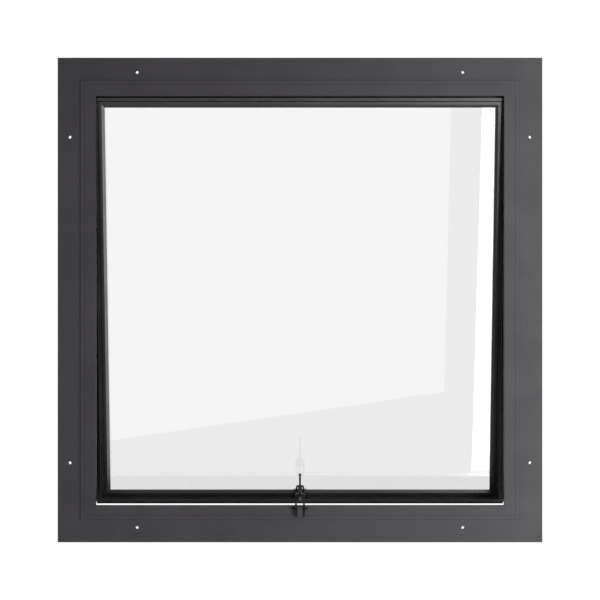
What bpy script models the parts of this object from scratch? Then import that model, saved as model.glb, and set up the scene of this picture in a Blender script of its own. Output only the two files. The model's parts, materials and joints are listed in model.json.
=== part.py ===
"""Top-hung window: fixed flanged frame, outward-opening glazed sash, side stays and crank opener.

Metres, +Z up. +Y points outdoors, so the room is on the -Y side. Every piece is first modelled in
"opening coordinates": the centre of the clear opening is x = z = 0 and the frame's room face is y = 0.
The root empty then moves the whole window so that the world origin is the middle of the back face of
the flange below the sill, the place where the window bears on the wall.
"""

import math

import bmesh
import bpy
from mathutils import Matrix, Vector

# ---- driving dimensions -------------------------------------------------------------------------
OPENING_HALF = 0.3000        # half the clear opening, lip to lip, at the head and jambs
SILL_LIP_U = 0.3020          # the sill's lip stands a little lower
LIP_DEPTH = 0.0040           # thickness of the lip around the opening
GROOVE_U = 0.3165            # shallow decorative groove in the raised border
GROOVE_DEPTH = 0.0007
RAISED_EDGE_U = 0.3230       # outer edge of the raised border
FLANGE_FRONT_Y = 0.0036      # the flange is set back from the raised border
FLANGE_BACK_Y = 0.0085
FLANGE_EDGE_U = 0.3570       # half the overall width and height
REBATE_U = 0.3165            # inner wall of the frame at the head and jambs
SILL_REBATE_U = 0.3210       # the sill is cut deeper, for the drip seal
FRAME_BOX_U = 0.3340         # outer wall of the hollow part of the frame
FRAME_DEPTH = 0.0460
FRAME_WALL = 0.0020
HOLE_SPACING_HALF = 0.2400   # fixing holes, two on each side of the frame
HOLE_U_HEAD_SILL = 0.3355
HOLE_U_JAMB = 0.3390
HOLE_RADIUS = 0.00225

SASH_FACE_Y = 0.0080         # room face of the closed sash
SASH_BACK_Y = 0.0440
SASH_FLANGE_Y = 0.0340       # front of the sash's outer flange
SASH_LEG_Y = 0.0240          # front of the leg that holds the glass from outdoors
SASH_LEG_BACK_Y = 0.0300
SASH_LEG_U = 0.2938          # inner edge of that leg, hidden behind the bead
SIGHT_U = 0.2894             # half the visible glass
BEAD_BACK_U = 0.2983         # outer edge of the glazing bead
SASH_INNER_U = 0.2987
SASH_FACE_U = 0.3040         # outer edge of the sash's room face
SASH_EDGE_U = 0.3145
DRIP_EDGE_U = 0.3170         # lower edge of the drip seal
SASH_WALL = 0.0012

GLASS_EDGE_U = 0.2970
GLASS_FRONT_Y = 0.0153
PANE = 0.0060

HINGE_Y = 0.0510             # hinge axis, outdoors above the sash
HINGE_Z = 0.3200
HINGE_X = 0.2000             # middle of each of the two hinges
SASH_OPEN_DEG = 7.0          # the sash is modelled this far open

STAY_PIVOT_Y = 0.0210        # pivot of the side stay's arm, on the jamb
STAY_PIVOT_Z = 0.1800
STAY_LENGTH = 0.1100
TRACK_LOW_Z = 0.0578         # lower end of the track on the sash's stile
TRACK_HIGH_Z = 0.2120

SPINDLE_Z = -0.2880          # axis of the operator's threaded rod
SPINDLE_RADIUS = 0.0020
EYE_PIN_CLOSED_Y = 0.0026    # pin between rod and sash when the window is shut
CRANK_LENGTH = 0.0349

CLEARANCE = 0.0003           # gap between neighbouring pieces
MITRE_SHIFT = 0.00012        # each mitred end stops this far short of its mitre plane
CORNER_TURNS = {"head": 0, "right": 1, "sill": 2, "left": 3}

KNUCKLE = 0.0032
LEAF = 0.0020
HINGE_WIDTH = 0.070
KNUCKLE_SPLIT = 0.0130       # half the width of the sash leaf's middle knuckle
SCREW_X = 0.0240             # screws sit this far either side of each hinge's middle
FRAME_SCREW_Z = 0.3290
SASH_SCREW_Z = 0.3060

TRACK_U = SASH_FACE_U + CLEARANCE      # back of the track, against the stile
TRACK_TOP_U = 0.3084                   # open side of the track
ARM_LOW_U = 0.3104
ARM_HIGH_U = 0.3124
BRACKET_LOW_U = 0.3142
BRACKET_HIGH_U = REBATE_U - CLEARANCE
BRACKET_HALF_Y = 0.0070
BRACKET_HALF_Z = 0.0180
TRACK_HALF = 0.0060
TRACK_SLOT_HALF = 0.0047
ROLLER_RADIUS = 0.0043

YOKE_FRONT_Y = -0.0200       # the operator's yoke, from its room side to its back
YOKE_BACK_Y = -0.0080
YOKE_LOW_Z = -0.3175
YOKE_TOP_Z = -0.2826
YOKE_OUTER_X = 0.00715
YOKE_PLATE = 0.0026
YOKE_BRIDGE = 0.0016         # its top piece, over the nut
YOKE_PIN_Y = -0.0060         # cross pin through the yoke's legs
YOKE_PIN_Z = -0.3058
NUT_SLEEVE_RADIUS = 0.0034
NUT_COLLAR_RADIUS = 0.0048
NUT_BORE = 0.0024
CRANK_Y = -0.0250            # room side of the crank's hub plate
CRANK_PLATE = 0.0022
ROD_ROOM_END_Y = -0.0480     # at rest
GRIP_LENGTH = 0.0150

SEAL_SETBACK = 0.0008        # the weather seal behind the lip stands back from its edge
SEAL_HIGH_U = 0.3048
GLAZING_SEAL_U = 0.2965      # outer edge of the seals either side of the glass
DRIP_HALF_LENGTH = 0.3135
BRACKET_SCREW_X = 0.0102     # screws of the bracket on the sash's bottom rail
BRACKET_SCREW_Z = -0.3008

HINGE = Vector((0.0, HINGE_Y, HINGE_Z))
WORLD_SHIFT = Vector((0.0, -FLANGE_BACK_Y, HOLE_U_JAMB))

# ---- scene and materials ------------------------------------------------------------------------
for old in list(bpy.data.objects):
    bpy.data.objects.remove(old, do_unlink=True)

parts = bpy.data.collections.new("window_sash_with_crank")
guides = bpy.data.collections.new("cutters_and_guides")
bpy.context.scene.collection.children.link(parts)
bpy.context.scene.collection.children.link(guides)


def make_material(name, colour, roughness, metallic, alpha=1.0):
    """A Principled material with plain values."""
    mat = bpy.data.materials.new(name)
    mat.use_nodes = True
    shader = mat.node_tree.nodes["Principled BSDF"]
    shader.inputs["Base Color"].default_value = (*colour, 1.0)
    shader.inputs["Roughness"].default_value = roughness
    shader.inputs["Metallic"].default_value = metallic
    shader.inputs["Alpha"].default_value = alpha
    mat.diffuse_color = (*colour, alpha)
    return mat


COATED = make_material("frame_coating", (0.055, 0.053, 0.058), 0.45, 0.0)
SASH_COAT = make_material("sash_coating", (0.030, 0.029, 0.031), 0.42, 0.0)
RUBBER = make_material("black_rubber", (0.012, 0.012, 0.012), 0.80, 0.0)
GLASS = make_material("clear_glass", (0.92, 0.95, 0.95), 0.03, 0.0, 0.25)
STAINLESS = make_material("stainless_steel", (0.52, 0.52, 0.53), 0.32, 1.0)
BLACK_STEEL = make_material("black_steel", (0.025, 0.025, 0.027), 0.38, 0.8)
BARE_STEEL = make_material("bare_steel", (0.42, 0.42, 0.43), 0.30, 1.0)
PLASTIC = make_material("black_plastic", (0.020, 0.020, 0.020), 0.50, 0.0)


# ---- empties that carry the pieces --------------------------------------------------------------
def make_empty(name, parent, place, turn_deg=0.0):
    """An empty at `place` (opening coordinates), turned about X; its pieces stay in opening coordinates."""
    empty = bpy.data.objects.new(name, None)
    guides.objects.link(empty)
    empty.hide_render = True
    empty.location = place
    empty.rotation_euler = (math.radians(turn_deg), 0.0, 0.0)
    empty["home"] = tuple(place)
    if parent is not None:
        empty.parent = parent
        empty.location = place - Vector(parent["home"])
    return empty


root = make_empty("window_root", None, Vector((0.0, 0.0, 0.0)))
root.location = WORLD_SHIFT
sash_axis = make_empty("sash_axis", root, HINGE, SASH_OPEN_DEG)


# ---- shape helpers ------------------------------------------------------------------------------
def add_piece(name, mesh, mat, carrier):
    """An object whose mesh is in opening coordinates, carried by an empty."""
    piece = bpy.data.objects.new(name, mesh)
    parts.objects.link(piece)
    piece.parent = carrier
    piece.location = -Vector(carrier["home"])
    mesh.materials.clear()
    mesh.materials.append(mat)
    return piece


def circle_points(radius, count, centre=(0.0, 0.0), start_deg=0.0, sweep_deg=360.0):
    """Points on an arc; a full circle leaves out the repeated last point."""
    steps = count if sweep_deg == 360.0 else count - 1
    angles = [math.radians(start_deg + sweep_deg * i / steps) for i in range(count)]
    return [(centre[0] + radius * math.cos(a), centre[1] + radius * math.sin(a)) for a in angles]


def outline_mesh(name, loops, thickness):
    """A filled flat outline (later loops are holes) in local XY, `thickness` deep along local Z."""
    curve = bpy.data.curves.new(name, "CURVE")
    curve.dimensions = "2D"
    curve.fill_mode = "BOTH"
    curve.extrude = thickness / 2
    for loop in loops:
        spline = curve.splines.new("POLY")
        spline.points.add(len(loop) - 1)
        for point, (x, y) in zip(spline.points, loop):
            point.co = (x, y, 0.0, 1.0)
        spline.use_cyclic_u = True
    flat = bpy.data.objects.new(name, curve)
    guides.objects.link(flat)
    bpy.context.view_layer.update()
    depsgraph = bpy.context.evaluated_depsgraph_get()
    mesh = bpy.data.meshes.new_from_object(flat.evaluated_get(depsgraph))
    mesh.name = name
    bpy.data.objects.remove(flat, do_unlink=True)
    weld(mesh)
    return mesh


def weld(mesh, distance=0.000005):
    """Join the loose caps of a curve's mesh to its sides and turn the faces outward."""
    bm = bmesh.new()
    bm.from_mesh(mesh)
    bmesh.ops.remove_doubles(bm, verts=bm.verts, dist=distance)
    bmesh.ops.recalc_face_normals(bm, faces=bm.faces)
    bm.to_mesh(mesh)
    bm.free()


# local XY of an outline -> world axes, as proper rotations
OUTLINE_ALONG_X = Matrix(((0, 0, 1, 0), (1, 0, 0, 0), (0, 1, 0, 0), (0, 0, 0, 1)))    # (y, z) outlines
OUTLINE_ALONG_Y = Matrix(((1, 0, 0, 0), (0, 0, -1, 0), (0, 1, 0, 0), (0, 0, 0, 1)))   # (x, z) outlines
SECTION_TO_HEAD = Matrix(((0, 0, -1, 0), (0, 1, 0, 0), (1, 0, 0, 0), (0, 0, 0, 1)))   # (u, y) sections


def plate_yz(name, loops, x_low, x_high):
    """A flat outline given as (y, z) points, standing across X between two planes."""
    mesh = outline_mesh(name, loops, x_high - x_low)
    mesh.transform(Matrix.Translation(((x_low + x_high) / 2, 0, 0)) @ OUTLINE_ALONG_X)
    return mesh


def plate_xz(name, loops, y_low, y_high):
    """A flat outline given as (x, z) points, facing along Y between two planes."""
    mesh = outline_mesh(name, loops, y_high - y_low)
    mesh.transform(Matrix.Translation((0, (y_low + y_high) / 2, 0)) @ OUTLINE_ALONG_Y)
    return mesh


def mitred_bar(name, section, side):
    """A straight bar with 45 degree mitred ends, from (u, y) loops; u is the distance from the centre."""
    mesh = outline_mesh(name, section, 1.0)
    for vertex in mesh.vertices:
        vertex.co.z = math.copysign(vertex.co.x - MITRE_SHIFT, vertex.co.z)
    mesh.transform(Matrix.Rotation(math.radians(90 * CORNER_TURNS[side]), 4, "Y") @ SECTION_TO_HEAD)
    return mesh


def box_mesh(name, low, high, bevel=0.0):
    """A box between two corners, with all its edges bevelled when a width is given."""
    size = Vector(high) - Vector(low)
    middle = (Vector(high) + Vector(low)) / 2
    bm = bmesh.new()
    bmesh.ops.create_cube(bm, size=1.0)
    bmesh.ops.scale(bm, vec=size, verts=bm.verts)
    bmesh.ops.translate(bm, vec=middle, verts=bm.verts)
    if bevel > 0.0:
        bmesh.ops.bevel(bm, geom=bm.edges, offset=bevel, segments=1, affect="EDGES", clamp_overlap=True)
    mesh = bpy.data.meshes.new(name)
    bm.to_mesh(mesh)
    bm.free()
    return mesh


AXIS_TURN = {"X": Matrix.Rotation(math.pi / 2, 4, "Y"), "Y": Matrix.Rotation(-math.pi / 2, 4, "X"),
             "Z": Matrix.Identity(4)}


def rod_mesh(name, radius, axis, start, length, segments=16):
    """A round rod from `start` along +axis."""
    bm = bmesh.new()
    bmesh.ops.create_cone(bm, cap_ends=True, segments=segments, radius1=radius, radius2=radius, depth=length)
    bmesh.ops.translate(bm, vec=(0, 0, length / 2), verts=bm.verts)
    mesh = bpy.data.meshes.new(name)
    bm.to_mesh(mesh)
    bm.free()
    mesh.transform(Matrix.Translation(start) @ AXIS_TURN[axis])
    return mesh


def turned_mesh(name, profile, axis, start, segments=16):
    """A turned piece. `profile` lists (radius, distance along the axis) from its far end to its start,
    down the outer side; a radius of 0 closes an end on the axis, and a closed ring profile has a bore."""
    bored = min(radius for radius, _ in profile) > 0.0
    curve_mesh = bpy.data.meshes.new(name + "_profile")
    count = len(profile)
    edges = [(i, i + 1) for i in range(count - 1)] + ([(count - 1, 0)] if bored else [])
    curve_mesh.from_pydata([(radius, 0.0, along) for radius, along in profile], edges, [])
    lathe = bpy.data.objects.new(name + "_lathe", curve_mesh)
    guides.objects.link(lathe)
    screw = lathe.modifiers.new("Screw", "SCREW")
    screw.steps = segments
    screw.render_steps = segments
    screw.use_merge_vertices = True
    screw.merge_threshold = 0.00001
    bpy.context.view_layer.update()
    depsgraph = bpy.context.evaluated_depsgraph_get()
    mesh = bpy.data.meshes.new_from_object(lathe.evaluated_get(depsgraph))
    bpy.data.objects.remove(lathe, do_unlink=True)
    weld(mesh)
    mesh.name = name
    mesh.transform(Matrix.Translation(start) @ AXIS_TURN[axis])
    return mesh


def join_meshes(name, meshes):
    """Several meshes as one; they stay separate solids unless a Boolean joins them."""
    bm = bmesh.new()
    for mesh in meshes:
        bm.from_mesh(mesh)
    joined = bpy.data.meshes.new(name)
    bm.to_mesh(joined)
    bm.free()
    return joined


def add_boolean(piece, mesh, operation):
    """Cut a piece with a mesh, or join the mesh to it, given in opening coordinates."""
    cutter = bpy.data.objects.new(piece.name + "_" + mesh.name, mesh)
    guides.objects.link(cutter)
    cutter.parent = piece.parent
    cutter.location = piece.location
    cutter.hide_render = True
    cutter.display_type = "WIRE"
    step = piece.modifiers.new(operation.title(), "BOOLEAN")
    step.operation = operation
    step.solver = "EXACT"
    step.object = cutter
    return piece


def smooth(piece, angle_deg=40.0):
    """Shade round faces smooth and keep the real edges sharp."""
    piece.data.shade_smooth()
    piece.data.set_sharp_from_angle(angle=math.radians(angle_deg))
    return piece


# ---- fixed frame --------------------------------------------------------------------------------
def frame_section(lip_u, rebate_u):
    """Outer outline and hollow of a frame member, as (u, y) points."""
    chamfer = 0.0006
    edge_chamfer = 0.0012
    groove_half = 0.0005
    outer = [
        (lip_u, chamfer), (lip_u + chamfer, 0.0),
        (GROOVE_U - groove_half, 0.0), (GROOVE_U - groove_half / 2, GROOVE_DEPTH),
        (GROOVE_U + groove_half / 2, GROOVE_DEPTH), (GROOVE_U + groove_half, 0.0),
        (RAISED_EDGE_U - edge_chamfer, 0.0), (RAISED_EDGE_U, edge_chamfer),
        (RAISED_EDGE_U, FLANGE_FRONT_Y), (FLANGE_EDGE_U - chamfer, FLANGE_FRONT_Y),
        (FLANGE_EDGE_U, FLANGE_FRONT_Y + chamfer), (FLANGE_EDGE_U, FLANGE_BACK_Y),
        (FRAME_BOX_U, FLANGE_BACK_Y), (FRAME_BOX_U, FRAME_DEPTH),
        (rebate_u, FRAME_DEPTH), (rebate_u, LIP_DEPTH), (lip_u, LIP_DEPTH),
    ]
    low_u, high_u = rebate_u + FRAME_WALL, FRAME_BOX_U - FRAME_WALL
    low_y, high_y = FLANGE_BACK_Y + FRAME_WALL, FRAME_DEPTH - FRAME_WALL
    return [outer, [(low_u, low_y), (high_u, low_y), (high_u, high_y), (low_u, high_y)]]


def hole_places(side):
    """(x, z) of the two fixing holes on one side of the frame."""
    if side in ("head", "sill"):
        z = HOLE_U_HEAD_SILL if side == "head" else -HOLE_U_HEAD_SILL
        return [(-HOLE_SPACING_HALF, z), (HOLE_SPACING_HALF, z)]
    x = HOLE_U_JAMB if side == "right" else -HOLE_U_JAMB
    return [(x, -HOLE_SPACING_HALF), (x, HOLE_SPACING_HALF)]


def build_frame():
    for side in CORNER_TURNS:
        is_jamb = side in ("left", "right")
        lip_u, rebate_u = (SILL_LIP_U, SILL_REBATE_U) if side == "sill" else (OPENING_HALF, REBATE_U)
        section = frame_section(lip_u, rebate_u)
        label = "frame_" + ("jamb_" + side if is_jamb else side)
        bar = mitred_bar(label, section, side)
        member = add_piece(label, bar, COATED, root)
        holes = [rod_mesh("hole", HOLE_RADIUS, "Y", (x, 0.0, z), 0.012) for x, z in hole_places(side)]
        add_boolean(member, join_meshes("fixing_holes", holes), "DIFFERENCE")
        build_seal(side)
    for label, sign_x, sign_z in (("top_left", -1, 1), ("top_right", 1, 1), ("bottom_left", -1, -1),
                                  ("bottom_right", 1, -1)):
        add_piece("corner_cleat_" + label, corner_cleat(sign_x, sign_z), BARE_STEEL, root)


def corner_cleat(sign_x, sign_z):
    """L-shaped cleat inside the hollow of two bars, across their mitre."""
    low, high, leg = SILL_REBATE_U + 0.0024, FRAME_BOX_U - 0.0024, 0.030
    points = [(high, high), (high, high - leg), (low, high - leg), (low, low), (high - leg, low),
              (high - leg, high)]
    loop = [(sign_x * x, sign_z * z) for x, z in points]
    return plate_xz("cleat", [loop], 0.0120, FRAME_DEPTH - 0.0035)


def build_seal(side):
    """Weather seal behind the lip, which the shut sash closes against."""
    low, high = LIP_DEPTH + CLEARANCE, SASH_FACE_Y - CLEARANCE
    edge = (SILL_LIP_U if side == "sill" else OPENING_HALF) + SEAL_SETBACK
    section = [[(edge, low), (SEAL_HIGH_U, low), (SEAL_HIGH_U, high - 0.001), (SEAL_HIGH_U - 0.0008, high),
                (edge + 0.0006, high), (edge, high - 0.001)]]
    label = "weather_seal_" + side
    seal = add_piece(label, mitred_bar(label, section, side), RUBBER, root)
    if side == "sill":
        gap = box_mesh("bracket_gap", (-0.0150, LIP_DEPTH + 0.0006, -0.310), (0.0150, 0.0100, -0.295))
        add_boolean(seal, gap, "DIFFERENCE")


# ---- sash and glass -----------------------------------------------------------------------------
def sash_section():
    chamfer = 0.0005
    outer = [
        (SASH_INNER_U, SASH_FACE_Y + chamfer), (SASH_INNER_U + chamfer, SASH_FACE_Y),
        (SASH_FACE_U - chamfer, SASH_FACE_Y), (SASH_FACE_U, SASH_FACE_Y + chamfer),
        (SASH_FACE_U, SASH_FLANGE_Y), (SASH_EDGE_U, SASH_FLANGE_Y), (SASH_EDGE_U, SASH_BACK_Y),
        (SASH_INNER_U, SASH_BACK_Y), (SASH_INNER_U, SASH_LEG_BACK_Y),
        (SASH_LEG_U, SASH_LEG_BACK_Y), (SASH_LEG_U, SASH_LEG_Y), (SASH_INNER_U, SASH_LEG_Y - 0.0002),
    ]
    hollow = [
        (SASH_INNER_U + SASH_WALL, SASH_FACE_Y + 0.003), (SASH_FACE_U - SASH_WALL, SASH_FACE_Y + 0.003),
        (SASH_FACE_U - SASH_WALL, SASH_BACK_Y - 0.002), (SASH_INNER_U + SASH_WALL, SASH_BACK_Y - 0.002),
    ]
    return [outer, hollow]


def bead_section():
    """Snap-in glazing bead: a bevel up from the glass, then a narrow flat beside the sash."""
    front = SASH_FACE_Y + 0.0006
    back = GLASS_FRONT_Y - 0.0026
    return [[(SIGHT_U, front + 0.0017), (SIGHT_U + 0.0042, front), (BEAD_BACK_U - 0.0004, front),
             (BEAD_BACK_U, front + 0.0004), (BEAD_BACK_U, back), (SIGHT_U, back)]]


def ring_mesh(name, u_low, u_high, y_low, y_high):
    """A square ring around the glass."""
    corners = [(1, 1), (-1, 1), (-1, -1), (1, -1)]
    return plate_xz(name, [[(u * x, u * z) for x, z in corners] for u in (u_high, u_low)], y_low, y_high)


def build_sash():
    names = {"head": "top_rail", "sill": "bottom_rail", "left": "left_stile", "right": "right_stile"}
    for side, label in names.items():
        add_piece("sash_" + label, mitred_bar(label, sash_section(), side), SASH_COAT, sash_axis)
        bead = "bead_" + label.split("_")[0]
        add_piece(bead, mitred_bar(bead, bead_section(), side), SASH_COAT, sash_axis)

    glass_back = GLASS_FRONT_Y + PANE
    inner = ring_mesh("inner_seal", SIGHT_U + 0.0006, GLAZING_SEAL_U,
                      GLASS_FRONT_Y - 0.0023, GLASS_FRONT_Y - CLEARANCE)
    outer = ring_mesh("outer_seal", SASH_LEG_U + 0.0003, GLAZING_SEAL_U,
                      glass_back + CLEARANCE, SASH_LEG_Y - CLEARANCE)
    add_piece("glazing_seal_room_side", inner, RUBBER, sash_axis)
    add_piece("glazing_seal_outdoor_side", outer, RUBBER, sash_axis)
    half = GLASS_EDGE_U
    pane = box_mesh("glass", (-half, GLASS_FRONT_Y, -half), (half, glass_back, half))
    add_piece("glass_pane", pane, GLASS, sash_axis)
    for label, x in (("left", -0.20), ("right", 0.20)):
        low_z = -SASH_INNER_U + CLEARANCE
        block = box_mesh("block", (x - 0.04, GLASS_FRONT_Y + 0.0005, low_z),
                         (x + 0.04, glass_back - 0.0005, -half - CLEARANCE))
        add_piece("setting_block_" + label, block, PLASTIC, sash_axis)
    drip = plate_yz("drip", [[(SASH_FLANGE_Y, -SASH_EDGE_U - CLEARANCE), (SASH_FLANGE_Y, -DRIP_EDGE_U),
                              (SASH_FLANGE_Y + 0.003, -DRIP_EDGE_U), (SASH_BACK_Y, -DRIP_EDGE_U + 0.0006),
                              (SASH_BACK_Y, -SASH_EDGE_U - CLEARANCE)]], -DRIP_HALF_LENGTH, DRIP_HALF_LENGTH)
    add_piece("sash_drip_seal", drip, RUBBER, sash_axis)


# ---- hinges -------------------------------------------------------------------------------------


def hinge_leaf_outline(plate_near, plate_end, fixed):
    """Knuckle and plate of one leaf, as a (y, z) loop and its bore. `fixed` is the frame's leaf."""
    sign = 1 if fixed else -1
    plate_y = (FRAME_DEPTH if fixed else SASH_BACK_Y) + CLEARANCE
    arc = circle_points(KNUCKLE, 15, (HINGE_Y, 0.0), -160.0, 300.0)
    if fixed:
        plate = [(plate_y + LEAF, plate_near), (plate_y + LEAF, plate_end), (plate_y, plate_end),
                 (plate_y, -0.001)]
    else:
        plate = [(plate_y + LEAF, plate_near), (plate_y + LEAF, plate_end), (plate_y, plate_end),
                 (plate_y, plate_near), (FRAME_DEPTH + 0.0006, 0.0020), (FRAME_DEPTH + 0.0006, -0.001)]
    loop = [(y, HINGE_Z + sign * z) for y, z in arc + plate]
    bore = circle_points(0.0018, 12, (HINGE_Y, HINGE_Z))
    return [loop, bore]


def build_hinges():
    frame_y = FRAME_DEPTH + CLEARANCE + LEAF
    sash_y = SASH_BACK_Y + CLEARANCE + LEAF
    for side, middle in (("left", -HINGE_X), ("right", HINGE_X)):
        low, high = middle - HINGE_WIDTH / 2, middle + HINGE_WIDTH / 2
        label = "hinge_" + side
        mesh = plate_yz("leaf", hinge_leaf_outline(0.0040, 0.0132, True), low, high)
        leaf = add_piece(label + "_frame_leaf", mesh, STAINLESS, root)
        notch = box_mesh("notch", (middle - KNUCKLE_SPLIT, 0.0440, HINGE_Z - 0.008),
                         (middle + KNUCKLE_SPLIT, 0.0600, HINGE_Z + 0.0042))
        add_boolean(leaf, notch, "DIFFERENCE")
        add_boolean(leaf, screw_holes(middle, FRAME_SCREW_Z, 0.040), "DIFFERENCE")
        mesh = plate_yz("leaf", hinge_leaf_outline(0.0080, 0.0240, False), low, high)
        leaf = add_piece(label + "_sash_leaf", mesh, STAINLESS, sash_axis)
        for side_low, side_high in ((low - 0.001, middle - KNUCKLE_SPLIT + 0.0004),
                                    (middle + KNUCKLE_SPLIT - 0.0004, high + 0.001)):
            notch = box_mesh("notch", (side_low, 0.0400, HINGE_Z - 0.0055),
                             (side_high, 0.0600, HINGE_Z + 0.008))
            add_boolean(leaf, notch, "DIFFERENCE")
        add_boolean(leaf, screw_holes(middle, SASH_SCREW_Z, 0.036), "DIFFERENCE")
        pin = turned_mesh("pin", [(0.0, HINGE_WIDTH + 0.0016), (0.0028, HINGE_WIDTH + 0.0016),
                                  (0.0028, HINGE_WIDTH + 0.0006), (0.0014, HINGE_WIDTH + 0.0006),
                                  (0.0014, -0.0003), (0.0, -0.0003)],
                          "X", (low, HINGE_Y, HINGE_Z), 12)
        add_piece(label + "_pin", pin, STAINLESS, root)
        for number, x in enumerate((middle - SCREW_X, middle + SCREW_X), start=1):
            frame_screw = screw_mesh((x, frame_y, FRAME_SCREW_Z), "Y", 0.0040)
            smooth(add_piece(f"{label}_frame_screw_{number}", frame_screw, STAINLESS, root))
            sash_screw = screw_mesh((x, sash_y, SASH_SCREW_Z), "Y", 0.0035)
            smooth(add_piece(f"{label}_sash_screw_{number}", sash_screw, STAINLESS, sash_axis))
    for label, height in (("frame_head", FRAME_SCREW_Z), ("sash_top_rail", SASH_SCREW_Z)):
        member = bpy.data.objects[label]
        holes = [screw_holes(middle, height, 0.036) for middle in (-HINGE_X, HINGE_X)]
        add_boolean(member, join_meshes("screw_holes", holes), "DIFFERENCE")


def screw_holes(middle, height, depth_from):
    """Two clearance holes along Y for the screws of one hinge."""
    rods = [rod_mesh("hole", 0.0016, "Y", (x, depth_from, height), 0.020, 12)
            for x in (middle - SCREW_X, middle + SCREW_X)]
    return join_meshes("screw_holes", rods)


def screw_mesh(place, axis, shank, head=0.0026, height=0.0014):
    """A pan-head screw: `place` is where the head bears, the shank runs back along -axis."""
    gap = 0.0001
    profile = [(0.0, height), (head * 0.7, height * 0.86), (head, height * 0.36), (head, gap),
               (0.0012, gap), (0.0012, -shank), (0.0, -shank)]
    return turned_mesh("screw", profile, axis, place, 12)


# ---- side stays ---------------------------------------------------------------------------------
def stay_arm_angle(open_deg):
    """Angle of the stay's arm from upright when the sash is open by `open_deg`."""
    angle = math.radians(open_deg)
    drop = HINGE_Z - STAY_PIVOT_Z
    setback = HINGE_Y - STAY_PIVOT_Y
    swing = (drop * math.sin(angle) - setback * (1 - math.cos(angle))) / STAY_LENGTH
    return open_deg + math.degrees(math.asin(swing))




def build_stay(side, sign):
    """One stay: a track on the sash's stile, and an arm pivoted on the jamb whose roller runs in it."""
    pivot = Vector((0.0, STAY_PIVOT_Y, STAY_PIVOT_Z))
    arm_axis = make_empty("stay_axis_" + side, root, pivot, stay_arm_angle(SASH_OPEN_DEG))

    def across(u_low, u_high):
        return (u_low, u_high) if sign > 0 else (-u_high, -u_low)

    x_low, x_high = across(TRACK_U, TRACK_TOP_U)
    track = box_mesh("track", (x_low, STAY_PIVOT_Y - TRACK_HALF, TRACK_LOW_Z),
                     (x_high, STAY_PIVOT_Y + TRACK_HALF, TRACK_HIGH_Z))
    track = add_piece("stay_track_" + side, track, STAINLESS, sash_axis)
    x_low, x_high = across(TRACK_U + 0.0010, TRACK_TOP_U + 0.001)
    slot = box_mesh("slot", (x_low, STAY_PIVOT_Y - TRACK_SLOT_HALF, TRACK_LOW_Z + 0.002),
                    (x_high, STAY_PIVOT_Y + TRACK_SLOT_HALF, TRACK_HIGH_Z - 0.002))
    add_boolean(track, slot, "DIFFERENCE")

    low_z = STAY_PIVOT_Z - STAY_LENGTH
    half = 0.0055
    ends = circle_points(half, 9, (STAY_PIVOT_Y, STAY_PIVOT_Z), 0.0, 180.0)
    ends += circle_points(half, 9, (STAY_PIVOT_Y, low_z), 180.0, 180.0)
    holes = [circle_points(0.0024, 12, (STAY_PIVOT_Y, STAY_PIVOT_Z)),
             circle_points(0.0018, 12, (STAY_PIVOT_Y, low_z))]
    arm = plate_yz("arm", [ends] + holes, *across(ARM_LOW_U, ARM_HIGH_U))
    add_piece("stay_arm_" + side, arm, STAINLESS, arm_axis)
    start = (sign * ARM_HIGH_U, STAY_PIVOT_Y, low_z)
    reach = ARM_HIGH_U - TRACK_U - 0.0013
    thick = 0.0026
    roller_profile = [(0.0, reach), (ROLLER_RADIUS, reach), (ROLLER_RADIUS, reach - thick),
                      (0.0015, reach - thick), (0.0015, 0.0), (0.0, 0.0)]
    roller = turned_mesh("roller", roller_profile, "X", (0.0, 0.0, 0.0), 16)
    turn = Matrix.Rotation(math.pi, 4, "Z") if sign > 0 else Matrix.Identity(4)
    roller.transform(Matrix.Translation(start) @ turn)
    add_piece("stay_roller_" + side, roller, PLASTIC, arm_axis)

    low_y, high_y = STAY_PIVOT_Y - BRACKET_HALF_Y, STAY_PIVOT_Y + BRACKET_HALF_Y
    low_z, high_z = STAY_PIVOT_Z - BRACKET_HALF_Z, STAY_PIVOT_Z + BRACKET_HALF_Z
    loop = [(low_y, low_z), (high_y, low_z), (high_y, high_z), (low_y, high_z)]
    bracket = plate_yz("bracket", [loop], *across(BRACKET_LOW_U, BRACKET_HIGH_U))
    bracket = add_piece("stay_bracket_" + side, bracket, STAINLESS, root)
    rivet_low = 0.3089
    shank = BRACKET_LOW_U + 0.0010 - rivet_low
    rivet_profile = [(0.0, shank), (0.0036, shank), (0.0036, shank - 0.0011), (0.0019, shank - 0.0011),
                     (0.0019, 0.0), (0.0, 0.0)]
    rivet = turned_mesh("rivet", rivet_profile, "X", (0.0, 0.0, 0.0), 14)
    rivet_start = (sign * (BRACKET_LOW_U + 0.0010), STAY_PIVOT_Y, STAY_PIVOT_Z)
    rivet.transform(Matrix.Translation(rivet_start) @ turn)
    add_boolean(bracket, rivet, "UNION")


# ---- crank opener -------------------------------------------------------------------------------


def eye_pin_rest_y():
    """Where the pin between rod and sash stands with the sash at rest: on the rod's line."""
    angle = math.radians(SASH_OPEN_DEG)
    setback = EYE_PIN_CLOSED_Y - HINGE_Y
    drop = (SPINDLE_Z - HINGE_Z - setback * math.sin(angle)) / math.cos(angle)
    return HINGE_Y + setback * math.cos(angle) - drop * math.sin(angle)


def yoke_pin_hole():
    return rod_mesh("cross_hole", 0.0015, "X", (-0.02, YOKE_PIN_Y, YOKE_PIN_Z), 0.040, 12)


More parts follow.
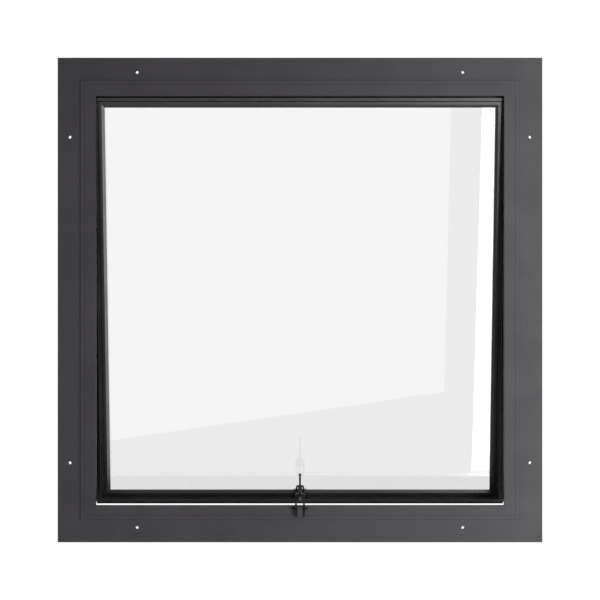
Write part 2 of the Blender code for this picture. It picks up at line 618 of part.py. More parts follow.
def build_operator():
    inner = YOKE_OUTER_X - YOKE_PLATE
    mount = box_mesh("mount", (-inner + CLEARANCE, -0.0110, YOKE_LOW_Z),
                     (inner - CLEARANCE, -CLEARANCE, -0.3020), 0.0005)
    mount = add_piece("operator_mount_block", mount, COATED, root)
    add_boolean(mount, yoke_pin_hole(), "DIFFERENCE")

    corner = 0.0021
    legs = [(-YOKE_OUTER_X, YOKE_LOW_Z), (-inner, YOKE_LOW_Z), (-inner, YOKE_TOP_Z - YOKE_BRIDGE),
            (inner, YOKE_TOP_Z - YOKE_BRIDGE), (inner, YOKE_LOW_Z), (YOKE_OUTER_X, YOKE_LOW_Z),
            (YOKE_OUTER_X, YOKE_TOP_Z - corner), (YOKE_OUTER_X - corner, YOKE_TOP_Z),
            (-YOKE_OUTER_X + corner, YOKE_TOP_Z), (-YOKE_OUTER_X, YOKE_TOP_Z - corner)]
    yoke = add_piece("operator_yoke", plate_xz("yoke", [legs], YOKE_FRONT_Y, -0.0008), BLACK_STEEL, root)
    behind = [(YOKE_BACK_Y, -0.278), (YOKE_BACK_Y, -0.2950), (0.0, -0.3030), (0.002, -0.278)]
    below = [(YOKE_FRONT_Y - 0.002, -0.2950), (-0.0120, -0.3080), (-0.0120, -0.3200),
             (YOKE_FRONT_Y - 0.002, -0.3200)]
    add_boolean(yoke, plate_yz("behind", [behind], -0.02, 0.02), "DIFFERENCE")
    add_boolean(yoke, plate_yz("below", [below], -0.02, 0.02), "DIFFERENCE")
    add_boolean(yoke, yoke_pin_hole(), "DIFFERENCE")
    pin_length = 0.0240
    profile = [(0.0, pin_length), (0.0009, pin_length), (0.0012, pin_length - 0.0004), (0.0012, 0.0004),
               (0.0009, 0.0), (0.0, 0.0)]
    yoke_pin = turned_mesh("yoke_pin", profile, "X", (-pin_length / 2, YOKE_PIN_Y, YOKE_PIN_Z), 12)
    add_piece("operator_yoke_pin", yoke_pin, BLACK_STEEL, root)

    crank_axis = make_empty("crank_axis", root, Vector((0.0, CRANK_Y, SPINDLE_Z)))
    back = YOKE_BACK_Y + CLEARANCE
    front = YOKE_FRONT_Y - CLEARANCE
    collar = 0.0022
    nut_start = front - collar
    ends = [(NUT_BORE, back + collar), (NUT_COLLAR_RADIUS - 0.0005, back + collar),
            (NUT_COLLAR_RADIUS, back + collar - 0.0005), (NUT_COLLAR_RADIUS, back), (NUT_SLEEVE_RADIUS, back),
            (NUT_SLEEVE_RADIUS, front), (NUT_COLLAR_RADIUS, front), (NUT_COLLAR_RADIUS, nut_start),
            (NUT_BORE, nut_start)]
    nut = turned_mesh("nut", [(r, y - nut_start) for r, y in ends], "Y", (0.0, nut_start, SPINDLE_Z), 20)
    smooth(add_piece("crank_nut", nut, BLACK_STEEL, crank_axis))

    ring = circle_points(0.0042, 20, (0.0, SPINDLE_Z))
    bore = circle_points(NUT_BORE + 0.0003, 16, (0.0, SPINDLE_Z))
    hub = plate_xz("hub", [ring, bore], CRANK_Y, CRANK_Y + CRANK_PLATE)
    crank = add_piece("crank_arm", hub, BLACK_STEEL, crank_axis)
    mid_y = CRANK_Y + CRANK_PLATE / 2
    top_z = SPINDLE_Z + CRANK_LENGTH
    bend = 0.0030
    route = [(mid_y, SPINDLE_Z + 0.0034), (mid_y, top_z - bend)]
    route += [(mid_y - bend + bend * math.cos(a), top_z - bend + bend * math.sin(a))
              for a in (math.pi / 8 * i for i in range(1, 5))]
    route += [(mid_y - bend - GRIP_LENGTH - 0.002, top_z)]
    add_boolean(crank, wire_mesh("crank_wire", route, 0.00105), "UNION")
    grip_start = mid_y - bend - GRIP_LENGTH - 0.0012
    grip_profile = [(0.00135, GRIP_LENGTH), (0.0016, GRIP_LENGTH), (0.0018, GRIP_LENGTH - 0.0006),
                    (0.0019, GRIP_LENGTH / 2), (0.0018, 0.0006), (0.0016, 0.0), (0.00135, 0.0)]
    grip = turned_mesh("grip", grip_profile, "Y", (0.0, grip_start, top_z), 14)
    grip_axis = make_empty("grip_axis", crank_axis, Vector((0.0, grip_start, top_z)))
    smooth(add_piece("crank_grip", grip, BLACK_STEEL, grip_axis))

    build_spindle()
    build_sash_bracket()


def wire_mesh(name, route, radius):
    """A bent round bar through (y, z) points in the plane x = 0, with closed ends."""
    curve = bpy.data.curves.new(name, "CURVE")
    curve.dimensions = "3D"
    curve.bevel_depth = radius
    curve.bevel_resolution = 2
    curve.use_fill_caps = True
    spline = curve.splines.new("POLY")
    spline.points.add(len(route) - 1)
    for point, (y, z) in zip(spline.points, route):
        point.co = (0.0, y, z, 1.0)
    wire = bpy.data.objects.new(name, curve)
    guides.objects.link(wire)
    bpy.context.view_layer.update()
    mesh = bpy.data.meshes.new_from_object(wire.evaluated_get(bpy.context.evaluated_depsgraph_get()))
    bpy.data.objects.remove(wire, do_unlink=True)
    mesh.name = name
    weld(mesh)
    return mesh


def build_spindle():
    """The rod, its flat eye between the sash bracket's cheeks, and the pin through them."""
    pin_y = eye_pin_rest_y()
    spindle_axis = make_empty("spindle_axis", root, Vector((0.0, pin_y, SPINDLE_Z)))
    eye_root = pin_y - 0.0062
    length = eye_root - ROD_ROOM_END_Y
    rod = turned_mesh("spindle", [(0.0, length), (SPINDLE_RADIUS, length), (SPINDLE_RADIUS, 0.0006),
                                  (SPINDLE_RADIUS - 0.0006, 0.0), (0.0, 0.0)],
                      "Y", (0.0, ROD_ROOM_END_Y, SPINDLE_Z), 16)
    smooth(add_piece("spindle_rod", rod, BLACK_STEEL, spindle_axis))
    half_height = 0.0024
    start = eye_root + CLEARANCE
    loop = [(start, SPINDLE_Z - half_height)]
    loop += circle_points(half_height, 9, (pin_y + 0.0002, SPINDLE_Z), -90.0, 180.0)
    loop += [(start, SPINDLE_Z + half_height)]
    bore = circle_points(0.0015, 12, (pin_y, SPINDLE_Z))
    add_piece("spindle_eye", plate_yz("eye", [loop, bore], -0.0026, 0.0026), BLACK_STEEL, spindle_axis)
    pin_length = 0.0192
    pin = turned_mesh("eye_pin", [(0.0, pin_length), (0.0016, pin_length), (0.0016, pin_length - 0.0016),
                                  (0.0012, pin_length - 0.0016), (0.0012, 0.0), (0.0, 0.0)],
                      "X", (-pin_length / 2, pin_y, SPINDLE_Z), 12)
    add_piece("spindle_eye_pin", pin, BARE_STEEL, spindle_axis)


def build_sash_bracket():
    """Bracket on the sash's bottom rail: a base screwed on, and an arch whose cheeks have upright slots."""
    half_x = 0.0130
    base_low, base_high = -0.3030, -0.2955
    back_y = SASH_FACE_Y - CLEARANCE
    base_front = back_y - 0.0020
    base = [(-half_x, base_low), (half_x, base_low), (half_x, base_high), (-half_x, base_high)]
    mesh = plate_xz("bracket", [base], base_front, back_y)
    bracket = add_piece("sash_bracket", mesh, BLACK_STEEL, sash_axis)
    slot_z = SPINDLE_Z + 0.0005
    slot_y = EYE_PIN_CLOSED_Y
    outer, inner, top = 0.0062, 0.0041, slot_z + 0.0061
    corner = 0.0016
    foot = base_low + 0.0040
    arch = [(-outer, foot), (-inner, foot), (-inner, top - 0.0018), (inner, top - 0.0018), (inner, foot),
            (outer, foot), (outer, top - corner), (outer - corner, top), (corner - outer, top),
            (-outer, top - corner)]
    add_boolean(bracket, plate_xz("arch", [arch], slot_y - 0.0036, back_y - 0.0002), "UNION")
    slot = circle_points(0.0017, 7, (slot_y, slot_z + 0.0016), 0.0, 180.0)
    slot += circle_points(0.0017, 7, (slot_y, slot_z - 0.0016), 180.0, 180.0)
    add_boolean(bracket, plate_yz("cheek_slots", [slot], -0.01, 0.01), "DIFFERENCE")
    holes = []
    for label, x in (("left", -BRACKET_SCREW_X), ("right", BRACKET_SCREW_X)):
        place = (x, base_front, BRACKET_SCREW_Z)
        screw = screw_mesh((0.0, 0.0, 0.0), "Y", 0.0045, 0.0019, 0.0009)
        screw.transform(Matrix.Translation(place) @ Matrix.Rotation(math.pi, 4, "X"))
        smooth(add_piece("sash_bracket_screw_" + label, screw, BLACK_STEEL, sash_axis))
        holes.append(rod_mesh("hole", 0.0015, "Y", (x, 0.0, BRACKET_SCREW_Z), 0.0135, 12))
    add_boolean(bracket, join_meshes("screw_holes", holes), "DIFFERENCE")
    add_boolean(bpy.data.objects["sash_bottom_rail"], join_meshes("bracket_holes", holes), "DIFFERENCE")


build_frame()
build_sash()
build_hinges()
build_stay("left", -1)
build_stay("right", 1)
build_operator()
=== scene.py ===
"""Looks for the top-hung window: coated bars, clear glass, steel fittings and studio light.

Metres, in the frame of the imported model: +Y outdoors, the room on the -Y side, +Z up. Places come from the
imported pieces' own boxes and from the record's hinge; the sizes of finer details are named below.
"""

import json
import math

import bmesh
import bpy
from mathutils import Matrix, Vector


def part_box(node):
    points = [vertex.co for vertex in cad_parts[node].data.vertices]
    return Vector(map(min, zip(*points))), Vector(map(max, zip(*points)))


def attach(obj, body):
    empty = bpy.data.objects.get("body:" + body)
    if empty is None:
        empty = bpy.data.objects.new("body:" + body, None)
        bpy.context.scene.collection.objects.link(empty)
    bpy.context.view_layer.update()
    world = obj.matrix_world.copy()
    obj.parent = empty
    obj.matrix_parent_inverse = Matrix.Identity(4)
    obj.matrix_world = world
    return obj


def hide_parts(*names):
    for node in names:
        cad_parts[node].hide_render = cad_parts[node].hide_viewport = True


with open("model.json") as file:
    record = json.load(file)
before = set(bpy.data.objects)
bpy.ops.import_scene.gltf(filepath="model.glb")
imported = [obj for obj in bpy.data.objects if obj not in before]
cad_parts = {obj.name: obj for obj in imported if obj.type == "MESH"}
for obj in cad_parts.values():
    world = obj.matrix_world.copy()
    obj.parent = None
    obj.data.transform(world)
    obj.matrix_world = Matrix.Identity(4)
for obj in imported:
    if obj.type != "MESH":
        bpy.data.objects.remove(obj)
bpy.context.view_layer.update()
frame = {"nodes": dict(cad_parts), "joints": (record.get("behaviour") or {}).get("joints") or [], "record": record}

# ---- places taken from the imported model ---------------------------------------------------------
SILL_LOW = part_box("frame_sill")[0]
HEAD_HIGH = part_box("frame_head")[1]
CRANK_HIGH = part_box("crank_arm")[1]
ROD_LOW, ROD_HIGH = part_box("spindle_rod")
CENTRE_Z = (SILL_LOW.z + HEAD_HIGH.z) / 2        # middle of the opening
FACE_Y = SILL_LOW.y                              # the frame's room face
SASH_TILT = next(joint for joint in frame["joints"] if joint["name"] == "sash_tilt")
HINGE_AT = Vector(SASH_TILT["pos_m"])
SASH_OPEN = math.radians(-SASH_TILT["range_deg"][0])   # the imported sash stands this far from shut

SLOT_OF = {part["node"]: part["material_slot"] for part in frame["record"]["subparts"]}
BODY_OF = {node: body for body, nodes in frame["record"]["behaviour"]["bodies"].items() for node in nodes}

# ---- view and light -----------------------------------------------------------------------------
CAMERA_BACK = 2.206          # camera to the frame's room face
CAMERA_ASIDE = 0.00003       # a hair off centre, so that no line of sight runs down a mitred joint
LENS_MM = 90.0
SENSOR_MM = 36.0
FLOOR_DROP = 1.42            # floor below the middle of the opening
FLOOR_HALF = 3.0
PANEL_BACK = 3.0             # light panels stand this far in front of the frame's room face
PANEL_BOTTOM = -1.415        # heights of panel edges are measured from the middle of the opening
MAIN_PANEL = [(-2.4, PANEL_BOTTOM), (-1.47, PANEL_BOTTOM), (0.528, -1.108), (0.528, 1.15), (-2.4, 1.15)]
MAIN_GLOW = 0.62
RIGHT_PANEL = [(0.637, PANEL_BOTTOM), (2.6, PANEL_BOTTOM), (2.6, 1.3), (0.637, 1.3)]
RIGHT_GLOW = 5.0
ROOM_GLOW = 0.05             # what surfaces see on the room side
OUTDOOR_GLOW = 0.75          # and outdoors
GLOW_FROM, GLOW_TO = -0.25, 0.35     # the Y of the directions between which one turns into the other

# ---- finer details ------------------------------------------------------------------------------
ON_LINE = 0.00002            # a vertex this near a line lies on it
MITRE_GAP = 0.00012          # each packed mitre stops this far short
MITRE_LEFT = 0.000001        # and each finer one this far
# edges on the frame's room face, from the middle of the opening: packed place and crisper place
CRISP_EDGES = ((0.3218, 0.3227), (0.3160, 0.3162), (0.3170, 0.3168))
OPENING_HALF = 0.3000        # lip of the jambs and the head
SILL_LIP_DROP = 0.3020       # the sill's lip below the middle of the opening
LIP_DEPTH = 0.0040

CRANK_WIRE_RADIUS = 0.00105
CRANK_BEND = 0.0030          # radius of the crank's bend, to the wire's middle
CRANK_PLATE = 0.0022         # thickness of the crank's hub
STEM_RADIUS = 0.00135        # the crank's upright stem, fuller than the wire in its grip
STEM_START = 0.0050          # above the spindle's axis, clear of the nut's collar

THREAD_LEAD = 0.0080         # travel per turn of the crank
THREAD_STARTS = 4
THREAD_DEPTH = 0.0005
THREAD_SHAPE = 0.7           # below 1, the grooves are wider than the crests
THREAD_AROUND = 40           # points round the rod
THREAD_STEP = 0.00028        # and the distance between its rings
PLAIN_END = 0.008            # the rod is plain at the eye
RUN_OUT = 0.004              # the thread fades over this length before the plain end
RUN_IN = 0.0012              # at the room end it deepens by its full depth in this length,
RUN_IN_START = 0.35          # but starts at this share of it, so it is full sooner
ROD_CHAMFER = 0.0006

SCREW_HEAD = 0.0014          # height of a screw's head
BRACKET_SCREW_HEAD = 0.0009
HEAD_DOME = 0.55             # share of the head's height above its straight rim
HEAD_LIFT = 0.0001           # the head's underside is this far above its seat
DOME_STEPS = 7
SCREW_AROUND = 32
RECESS_WIDTH = 0.00042
RECESS_LENGTH = 1.15         # in radii of the head
RECESS_BAR = 1.1             # height of the cutting bar, in heights of the head,
RECESS_BAR_LIFT = 0.05       # and of its middle above the head's top: it cuts half the head deep

LARGE_ROUNDING = 0.00035     # edges of the yoke, the spindle's eye and the sash bracket
LEAF_ROUNDING = 0.0003       # edges of the hinge leaves and the stays
SMALL_ROUNDING = 0.00018     # edges of the crank and the opener's pins
ROUNDED_FROM = math.radians(50)      # edges that turn more than this are rounded


# ---- node helpers -------------------------------------------------------------------------------
class Nodes:
    """Short forms for building one material's node tree."""

    def __init__(self, name):
        self.mat = bpy.data.materials.new(name)
        self.mat.use_nodes = True
        self.tree = self.mat.node_tree
        self.shader = self.tree.nodes["Principled BSDF"]
        self.coords = self.tree.nodes.new("ShaderNodeTexCoord").outputs["Object"]

    def link(self, source, target):
        self.tree.links.new(source, target)

    def noise(self, scale, detail=3.0, roughness=0.55, stretch=None):
        node = self.tree.nodes.new("ShaderNodeTexNoise")
        node.inputs["Scale"].default_value = scale
        node.inputs["Detail"].default_value = detail
        node.inputs["Roughness"].default_value = roughness
        source = self.coords
        if stretch is not None:
            mapping = self.tree.nodes.new("ShaderNodeMapping")
            mapping.inputs["Scale"].default_value = stretch
            self.link(source, mapping.inputs["Vector"])
            source = mapping.outputs["Vector"]
        self.link(source, node.inputs["Vector"])
        return node.outputs["Fac"]

    def span(self, value, low, high, from_low=0.35, from_high=0.65):
        node = self.tree.nodes.new("ShaderNodeMapRange")
        node.inputs["From Min"].default_value = from_low
        node.inputs["From Max"].default_value = from_high
        node.inputs["To Min"].default_value = low
        node.inputs["To Max"].default_value = high
        self.link(value, node.inputs["Value"])
        return node.outputs["Result"]

    def ramp(self, value, stops):
        node = self.tree.nodes.new("ShaderNodeValToRGB")
        for element, (place, colour) in zip(node.color_ramp.elements, stops):
            element.position = place
            element.color = (*colour, 1.0)
        self.link(value, node.inputs["Fac"])
        return node.outputs["Color"]

    def bump(self, height, strength, distance, before=None):
        node = self.tree.nodes.new("ShaderNodeBump")
        node.inputs["Strength"].default_value = strength
        node.inputs["Distance"].default_value = distance
        self.link(height, node.inputs["Height"])
        if before is not None:
            self.link(before, node.inputs["Normal"])
        return node.outputs["Normal"]

    def set(self, **values):
        for key, value in values.items():
            self.shader.inputs[key.replace("_", " ")].default_value = value

    def feed(self, **sources):
        for key, source in sources.items():
            self.link(source, self.shader.inputs[key.replace("_", " ")])


# ---- materials ----------------------------------------------------------------------------------
def powder_coat(name, dark, light, rough_low, rough_high, specular):
    """Satin powder coating: fine orange peel, faint cloudiness and uneven sheen."""
    n = Nodes(name)
    clouds = n.noise(14.0, detail=5.0, roughness=0.6)
    peel = n.noise(1400.0, detail=2.0, roughness=0.5)
    ripple = n.noise(260.0, detail=2.0, roughness=0.5)
    specks = n.noise(3200.0, detail=1.0, roughness=0.5)
    n.feed(Base_Color=n.ramp(clouds, [(0.30, dark), (0.72, light)]))
    n.feed(Roughness=n.span(clouds, rough_low, rough_high))
    rippled = n.bump(ripple, strength=0.10, distance=0.0004)
    peeled = n.bump(peel, strength=0.22, distance=0.00012, before=rippled)
    n.feed(Normal=n.bump(specks, strength=0.12, distance=0.00006, before=peeled))
    n.set(Specular_IOR_Level=specular)
    return n.mat


def rubber(name):
    """Extruded seal: matt, fine grained, with a dusty bloom."""
    n = Nodes(name)
    dust = n.noise(45.0, detail=4.0)
    grain = n.noise(1800.0, detail=2.0)
    n.feed(Base_Color=n.ramp(dust, [(0.35, (0.003, 0.003, 0.003)), (0.80, (0.009, 0.009, 0.0095))]))
    n.feed(Roughness=n.span(dust, 0.62, 0.85))
    n.feed(Normal=n.bump(grain, strength=0.25, distance=0.0001))
    n.set(Specular_IOR_Level=0.18)
    return n.mat


def float_glass(name):
    """Clear float glass with the faintest uneven sheen; the coat strengthens the panels' reflection."""
    n = Nodes(name)
    smear = n.noise(6.0, detail=6.0, roughness=0.7)
    n.feed(Base_Color=n.ramp(smear, [(0.2, (0.951, 0.951, 0.951)), (0.9, (0.958, 0.958, 0.958))]))
    n.feed(Roughness=n.span(smear, 0.0, 0.012, from_low=0.45, from_high=0.75))
    n.set(IOR=1.50, Transmission_Weight=1.0, Coat_Weight=1.0, Coat_IOR=1.85, Coat_Roughness=0.0)
    return n.mat


def brushed_steel(name, tone, along, rough_low, rough_high):
    """Steel brushed along one axis, with smudges that change its sheen."""
    n = Nodes(name)
    stretch = {"X": (0.02, 1.0, 1.0), "Z": (1.0, 1.0, 0.02)}[along]
    lines = n.noise(2600.0, detail=3.0, roughness=0.6, stretch=stretch)
    smudge = n.noise(60.0, detail=4.0, roughness=0.6)
    dark = tuple(0.80 * channel for channel in tone)
    n.feed(Base_Color=n.ramp(lines, [(0.30, dark), (0.70, tone)]))
    n.feed(Roughness=n.span(smudge, rough_low, rough_high))
    n.feed(Normal=n.bump(lines, strength=0.18, distance=0.00008))
    n.set(Metallic=1.0)
    return n.mat


def worn_black_steel(name):
    """Blackened steel whose finish is rubbed thin in small patches."""
    n = Nodes(name)
    patches = n.noise(420.0, detail=4.0, roughness=0.65)
    grain = n.noise(2400.0, detail=2.0, roughness=0.5)
    n.feed(Base_Color=n.ramp(patches, [(0.66, (0.006, 0.006, 0.0065)), (0.88, (0.080, 0.078, 0.076))]))
    n.feed(Roughness=n.span(patches, 0.55, 0.30, from_low=0.50, from_high=0.85))
    n.feed(Metallic=n.span(patches, 0.05, 0.90, from_low=0.66, from_high=0.88))
    n.feed(Normal=n.bump(grain, strength=0.20, distance=0.0001))
    n.set(Specular_IOR_Level=0.25)
    return n.mat


def moulded_plastic(name):
    """Fine spark-textured nylon."""
    n = Nodes(name)
    texture = n.noise(1500.0, detail=2.0)
    tone = n.noise(90.0, detail=3.0)
    n.feed(Base_Color=n.ramp(tone, [(0.3, (0.014, 0.014, 0.015)), (0.7, (0.026, 0.026, 0.027))]))
    n.feed(Roughness=n.span(tone, 0.42, 0.58))
    n.feed(Normal=n.bump(texture, strength=0.30, distance=0.0001))
    return n.mat


MATERIALS = {
    "frame_coating": powder_coat("anthracite_powder_coat", dark=(0.0362, 0.0326, 0.0384),
                                 light=(0.0472, 0.0430, 0.0502), rough_low=0.34, rough_high=0.46,
                                 specular=0.42),
    "sash_coating": powder_coat("black_powder_coat", dark=(0.010, 0.0095, 0.0105),
                                light=(0.015, 0.0143, 0.0155), rough_low=0.26, rough_high=0.36,
                                specular=0.70),
    "black_rubber": rubber("seal_rubber"),
    "clear_glass": float_glass("float_glass"),
    "stainless_steel": brushed_steel("brushed_stainless", (0.56, 0.56, 0.57), "Z", 0.24, 0.38),
    "bare_steel": brushed_steel("turned_steel", (0.40, 0.40, 0.41), "X", 0.20, 0.36),
    "black_steel": worn_black_steel("worn_black_steel"),
    "black_plastic": moulded_plastic("moulded_nylon"),
}


def dress_cad_nodes():
    """Give every CAD node the fine material of its record slot."""
    for node, piece in frame["nodes"].items():
        for slot in piece.material_slots:
            slot.material = MATERIALS[SLOT_OF[node]]


# ---- finer pieces that stand for plain CAD nodes ------------------------------------------------
def link_new(name, mesh):
    piece = bpy.data.objects.new(name, mesh)
    bpy.context.scene.collection.objects.link(piece)
    return piece


def copy_of(node):
    """A new piece with the CAD node's own shape."""
    return link_new(node + "_fine", frame["nodes"][node].data.copy())


def stand_for(piece, node):
    """Let a finer piece take a CAD node's place, body and finish."""
    piece.data.materials.clear()
    piece.data.materials.append(MATERIALS[SLOT_OF[node]])
    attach(piece, BODY_OF[node])
    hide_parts(node)


def mesh_from(bm, name):
    """Turn a bmesh into a mesh and free it."""
    mesh = bpy.data.meshes.new(name)
    bm.to_mesh(mesh)
    bm.free()
    return mesh


def shade(mesh, sharp_degrees):
    """Smooth shading, with the edges that turn more than this left sharp."""
    mesh.shade_smooth()
    mesh.set_sharp_from_angle(angle=math.radians(sharp_degrees))


def apply_boolean(piece, tool_mesh, operation):
    """Cut a mesh from a piece, or join it on, and keep the result as the piece's own mesh."""
    tool = link_new("tool", tool_mesh)
    step = piece.modifiers.new("Boolean", "BOOLEAN")
    step.object = tool
    step.operation = operation
    bpy.context.view_layer.update()
    result = bpy.data.meshes.new_from_object(piece.evaluated_get(bpy.context.evaluated_depsgraph_get()))
    piece.modifiers.clear()
    piece.data = result
    bpy.data.objects.remove(tool, do_unlink=True)


def tilt_of(node):
    """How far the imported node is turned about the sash's hinge."""
    return SASH_OPEN if BODY_OF[node] == "sash" else 0.0


def thicken_crank_stem(piece):
    """Give the crank's upright stem its full thickness between the hub and the bend."""
    start = (ROD_LOW.z + ROD_HIGH.z) / 2 + STEM_START
    end = CRANK_HIGH.z - CRANK_WIRE_RADIUS - CRANK_BEND
    middle = (0.0, CRANK_HIGH.y - CRANK_PLATE / 2, (start + end) / 2)
    bar = bmesh.new()
    bmesh.ops.create_cone(bar, cap_ends=True, segments=24, radius1=STEM_RADIUS, radius2=STEM_RADIUS,
                          depth=end - start)
    bmesh.ops.translate(bar, vec=middle, verts=bar.verts)
    apply_boolean(piece, mesh_from(bar, "stem"), "UNION")


def soften(piece, node, width, segments):
    """Round the sharp edges of a piece that stands for a node."""
    bevel = piece.modifiers.new("Bevel", "BEVEL")
    bevel.width = width
    bevel.segments = segments
    bevel.limit_method = "ANGLE"
    bevel.angle_limit = ROUNDED_FROM
    bevel.use_clamp_overlap = True
    bevel.harden_normals = True
    shade(piece.data, sharp_degrees=35)
    stand_for(piece, node)


def tighten_mitre(node):
    """The bar's own shape with its mitred ends run up to the mitre, so the joint shows as a hairline."""
    piece = copy_of(node)
    shut = (Matrix.Translation(HINGE_AT) @ Matrix.Rotation(-tilt_of(node), 4, "X")
            @ Matrix.Translation(-HINGE_AT))
    opened = shut.inverted()
    for vertex in piece.data.vertices:
        place = shut @ vertex.co
        across, up = abs(place.x), abs(place.z - CENTRE_Z)
        if abs(abs(across - up) - MITRE_GAP) >= ON_LINE:
            continue
        reach = max(across, up)
        if node.startswith("frame_") and abs(place.y - FACE_Y) < ON_LINE:
            reach = next((crisp for packed, crisp in CRISP_EDGES if abs(reach - packed) < ON_LINE), reach)
        lies_flat = across < up
        place.x = math.copysign(reach - MITRE_LEFT if lies_flat else reach, place.x)
        place.z = CENTRE_Z + math.copysign(reach if lies_flat else reach - MITRE_LEFT, place.z - CENTRE_Z)
        vertex.co = opened @ place
    if node.startswith("frame_jamb"):
        add_lip_end(piece.data, -1.0 if node.endswith("left") else 1.0)
    stand_for(piece, node)


def add_lip_end(mesh, side):
    """Run a jamb's lip down to the sill's lip, which stands lower than the jambs' mitre there."""
    sill_lip = CENTRE_Z - SILL_LIP_DROP + MITRE_LEFT
    mitre_top = CENTRE_Z - OPENING_HALF - MITRE_LEFT
    corners = [(OPENING_HALF, mitre_top), (OPENING_HALF, sill_lip),
               (SILL_LIP_DROP - 2 * MITRE_LEFT, sill_lip)]
    bm = bmesh.new()
    bm.from_mesh(mesh)
    before = set(bm.faces)
    front = [bm.verts.new((side * x, FACE_Y, z)) for x, z in corners]
    back = [bm.verts.new((side * x, FACE_Y + LIP_DEPTH, z)) for x, z in corners]
    bm.faces.new(front)
    bm.faces.new(reversed(back))
    for i in range(len(corners)):
        j = (i + 1) % len(corners)
        bm.faces.new((front[i], back[i], back[j], front[j]))
    bmesh.ops.recalc_face_normals(bm, faces=[face for face in bm.faces if face not in before])
    bm.to_mesh(mesh)
    bm.free()


def thread_radius(radius, length, along, angle):
    """The threaded rod's radius this far along and round it; its full radius and length come first."""
    fade = min(1.0, (length - PLAIN_END - along) / RUN_OUT, along / RUN_IN + RUN_IN_START)
    depth = THREAD_DEPTH * max(0.0, fade)
    phase = (along / THREAD_LEAD - angle / (2 * math.pi)) * THREAD_STARTS
    groove = 0.5 + 0.5 * math.cos(2 * math.pi * phase)
    return radius - depth * groove ** THREAD_SHAPE - max(0.0, ROD_CHAMFER - along)


def threaded_rod():
    """The spindle with its real multi-start thread, plain at the eye's end."""
    radius = (ROD_HIGH.x - ROD_LOW.x) / 2
    middle = (ROD_LOW + ROD_HIGH) / 2
    length = ROD_HIGH.y - ROD_LOW.y
    rings = int(length / THREAD_STEP)
    bm = bmesh.new()
    previous = None
    for ring in range(rings + 1):
        along = length * ring / rings
        verts = []
        for i in range(THREAD_AROUND):
            angle = 2 * math.pi * i / THREAD_AROUND
            r = thread_radius(radius, length, along, angle)
            verts.append(bm.verts.new((middle.x + r * math.cos(angle), ROD_LOW.y + along,
                                       middle.z + r * math.sin(angle))))
        if previous is None:
            bm.faces.new(verts)
        else:
            for i in range(THREAD_AROUND):
                j = (i + 1) % THREAD_AROUND
                bm.faces.new((previous[i], verts[i], verts[j], previous[j]))
        previous = verts
    bm.faces.new(reversed(previous))
    bmesh.ops.recalc_face_normals(bm, faces=bm.faces)
    mesh = mesh_from(bm, "spindle_thread")
    shade(mesh, sharp_degrees=60)
    stand_for(link_new("spindle_thread", mesh), "spindle_rod")


def domed_head(name, radius, top, height):
    """A pan head turned about Z: flat underside, straight rim and a dome up to the top."""
    underside = top - height + HEAD_LIFT
    dome = height * HEAD_DOME
    profile = [(0.0, underside), (radius, underside), (radius, top - dome)]
    profile += [(radius * math.cos(a), top - dome + dome * math.sin(a))
                for a in (math.pi / 2 * i / DOME_STEPS for i in range(1, DOME_STEPS + 1))]
    bm = bmesh.new()
    verts = [bm.verts.new((r, 0.0, h)) for r, h in profile]
    edges = [bm.edges.new(pair) for pair in zip(verts, verts[1:])]
    bmesh.ops.spin(bm, geom=verts + edges, cent=(0, 0, 0), axis=(0, 0, 1), angle=2 * math.pi,
                   steps=SCREW_AROUND)
    bmesh.ops.remove_doubles(bm, verts=bm.verts, dist=0.00001)
    bmesh.ops.recalc_face_normals(bm, faces=bm.faces)
    return mesh_from(bm, name)


def recess_bar(angle, radius, top, height):
    """One bar of the cross recess, to be cut out of a head with this radius, top and height."""
    bar = bmesh.new()
    bmesh.ops.create_cube(bar, size=1.0)
    bmesh.ops.scale(bar, vec=(radius * RECESS_LENGTH, RECESS_WIDTH, height * RECESS_BAR), verts=bar.verts)
    bmesh.ops.translate(bar, vec=(0, 0, top + height * RECESS_BAR_LIFT), verts=bar.verts)
    bmesh.ops.rotate(bar, cent=(0, 0, 0), matrix=Matrix.Rotation(angle, 3, "Z"), verts=bar.verts)
    return mesh_from(bar, "recess")


def screw_with_recess(node):
    """A domed pan head with a cross recess, on the CAD screw's own axis; the hidden shank is left out."""
    points = [vertex.co.copy() for vertex in frame["nodes"][node].data.vertices]
    low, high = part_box(node)
    centre = (low + high) / 2
    radius = (high.x - low.x) / 2
    out = Vector((0.0, math.cos(tilt_of(node)), math.sin(tilt_of(node))))
    if (sum(points, Vector()) / len(points)).y < centre.y:
        out = -out
    top = max((point - centre).dot(out) for point in points)
    height = BRACKET_SCREW_HEAD if node.startswith("sash_bracket") else SCREW_HEAD
    piece = link_new(node + "_fine", domed_head(node + "_fine", radius, top, height))
    for angle in (0.0, math.pi / 2):
        apply_boolean(piece, recess_bar(angle, radius, top, height), "DIFFERENCE")
    piece.data.transform(Matrix.Translation(centre) @ out.to_track_quat("Z", "Y").to_matrix().to_4x4())
    shade(piece.data, sharp_degrees=40)
    stand_for(piece, node)


def is_bar(node):
    """Whether a node is one of the frame's, sash's or beads' bars."""
    return (node.startswith(("frame_", "bead_", "sash_")) and node != "sash_bracket"
            and "screw" not in node)


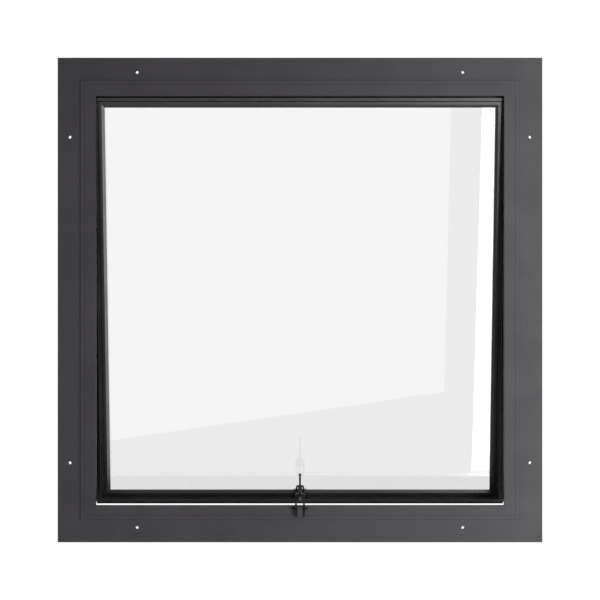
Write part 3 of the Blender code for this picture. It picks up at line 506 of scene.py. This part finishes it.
def build_fine_pieces():
    threaded_rod()
    for node in filter(is_bar, frame["nodes"]):
        tighten_mitre(node)
    for node in ("operator_yoke", "spindle_eye", "sash_bracket"):
        soften(copy_of(node), node, LARGE_ROUNDING, segments=3)
    for node in ("crank_nut", "crank_arm", "crank_grip", "operator_yoke_pin", "spindle_eye_pin"):
        piece = copy_of(node)
        if node == "crank_arm":
            thicken_crank_stem(piece)
        soften(piece, node, SMALL_ROUNDING, segments=2)
    for side in ("left", "right"):
        for node in (f"hinge_{side}_frame_leaf", f"hinge_{side}_sash_leaf", f"stay_arm_{side}",
                     f"stay_bracket_{side}", f"stay_track_{side}"):
            soften(copy_of(node), node, LEAF_ROUNDING, segments=2)
    for node in frame["nodes"]:
        if "screw" in node:
            screw_with_recess(node)


# ---- stage, light and camera --------------------------------------------------------------------
def glowing_panel(name, corners, strength):
    """A light panel in front of the window, given by its corners' (x, height above the opening's middle)."""
    y = FACE_Y - PANEL_BACK
    mesh = bpy.data.meshes.new(name)
    mesh.from_pydata([(x, y, CENTRE_Z + z) for x, z in corners], [], [tuple(range(len(corners)))])
    panel = link_new(name, mesh)
    mat = bpy.data.materials.new(name)
    mat.use_nodes = True
    mat.node_tree.nodes.clear()
    emission = mat.node_tree.nodes.new("ShaderNodeEmission")
    emission.inputs["Strength"].default_value = strength
    output = mat.node_tree.nodes.new("ShaderNodeOutputMaterial")
    mat.node_tree.links.new(emission.outputs[0], output.inputs["Surface"])
    mesh.materials.append(mat)
    panel.visible_camera = False
    panel.visible_transmission = False


def build_stage():
    bm = bmesh.new()
    bmesh.ops.create_grid(bm, x_segments=8, y_segments=8, size=FLOOR_HALF)
    floor = link_new("floor", mesh_from(bm, "floor"))
    floor.location = (0.0, 0.0, CENTRE_Z - FLOOR_DROP)
    floor_mat = bpy.data.materials.new("pale_floor")
    floor_mat.use_nodes = True
    shader = floor_mat.node_tree.nodes["Principled BSDF"]
    shader.inputs["Base Color"].default_value = (0.86, 0.86, 0.86, 1.0)
    shader.inputs["Roughness"].default_value = 0.9
    floor.data.materials.append(floor_mat)

    glowing_panel("panel_main", MAIN_PANEL, MAIN_GLOW)
    glowing_panel("panel_right", RIGHT_PANEL, RIGHT_GLOW)


def build_world():
    """White behind the window; round the room only a dim glow, so that glass and coating show the panels."""
    world = bpy.data.worlds.new("studio")
    bpy.context.scene.world = world
    world.use_nodes = True
    tree = world.node_tree
    background = tree.nodes["Background"]
    paths = tree.nodes.new("ShaderNodeLightPath")
    seen = tree.nodes.new("ShaderNodeMath")
    seen.operation = "MAXIMUM"
    tree.links.new(paths.outputs["Is Camera Ray"], seen.inputs[0])
    tree.links.new(paths.outputs["Is Transmission Ray"], seen.inputs[1])
    coords = tree.nodes.new("ShaderNodeTexCoord")
    split = tree.nodes.new("ShaderNodeSeparateXYZ")
    tree.links.new(coords.outputs["Generated"], split.inputs[0])
    outdoors = tree.nodes.new("ShaderNodeMapRange")
    outdoors.inputs["From Min"].default_value = GLOW_FROM
    outdoors.inputs["From Max"].default_value = GLOW_TO
    outdoors.inputs["To Min"].default_value = ROOM_GLOW
    outdoors.inputs["To Max"].default_value = OUTDOOR_GLOW
    tree.links.new(split.outputs["Y"], outdoors.inputs["Value"])
    mix = tree.nodes.new("ShaderNodeMix")
    tree.links.new(seen.outputs[0], mix.inputs["Factor"])
    tree.links.new(outdoors.outputs["Result"], mix.inputs["A"])
    mix.inputs["B"].default_value = 1.0
    tree.links.new(mix.outputs["Result"], background.inputs["Strength"])
    background.inputs["Color"].default_value = (1.0, 1.0, 1.0, 1.0)


def build_camera():
    camera_data = bpy.data.cameras.new("camera")
    camera_data.lens = LENS_MM
    camera_data.sensor_width = SENSOR_MM
    camera_data.clip_start = 0.01
    camera_data.clip_end = 100.0
    camera = bpy.data.objects.new("camera", camera_data)
    bpy.context.scene.collection.objects.link(camera)
    camera.location = (CAMERA_ASIDE, FACE_Y - CAMERA_BACK, CENTRE_Z)
    camera.rotation_euler = (math.pi / 2, 0.0, 0.0)
    bpy.context.scene.camera = camera
    bpy.context.scene.view_settings.view_transform = "Standard"


dress_cad_nodes()
build_fine_pieces()
build_stage()
build_world()
build_camera()
